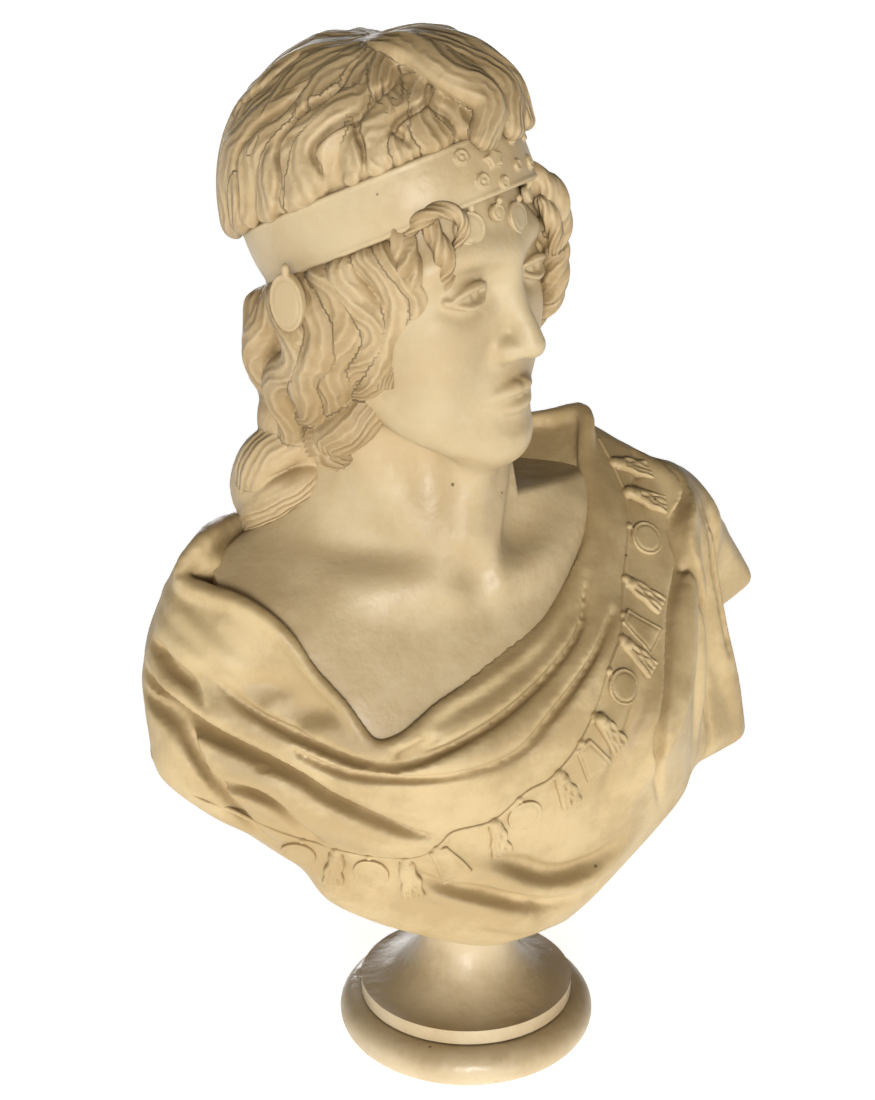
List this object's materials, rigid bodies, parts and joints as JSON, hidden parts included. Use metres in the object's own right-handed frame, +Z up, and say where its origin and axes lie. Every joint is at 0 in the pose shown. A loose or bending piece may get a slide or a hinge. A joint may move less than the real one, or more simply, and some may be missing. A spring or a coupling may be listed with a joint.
{
  "type": "marble bust",
  "caption": "Carved marble bust: a head and chest block with curled hair and a headband, set into a draped torso with an ornamented hem, on a turned round socle.",
  "frame": {"origin": "centre of the underside of the felt under the round foot, on the socle's axis", "axes": "+Z up along the socle's axis; -Y the way the chest faces; +X towards the figure's left shoulder; the head turns towards +X"},
  "size_m": [0.4403, 0.228, 0.6772],
  "materials": {
    "figure_marble": "satin",
    "drapery_marble": "satin",
    "socle_marble": "satin",
    "mortar": "matte",
    "iron": "matte",
    "lead": "satin",
    "felt": "matte"
  },
  "bodies": {
    "root": {"socle_foot": "socle_marble", "socle_drum": "socle_marble", "drum_bed": "mortar", "felt_disc": "felt", "tie_rod": "iron", "square_nut": "iron", "washer": "iron", "mortar_collar": "mortar", "lead_plug": "lead", "draped_torso": "drapery_marble", "chest_bed": "mortar", "chest_dowels": "iron", "head_and_chest": "figure_marble"}
  },
  "joints": []
}
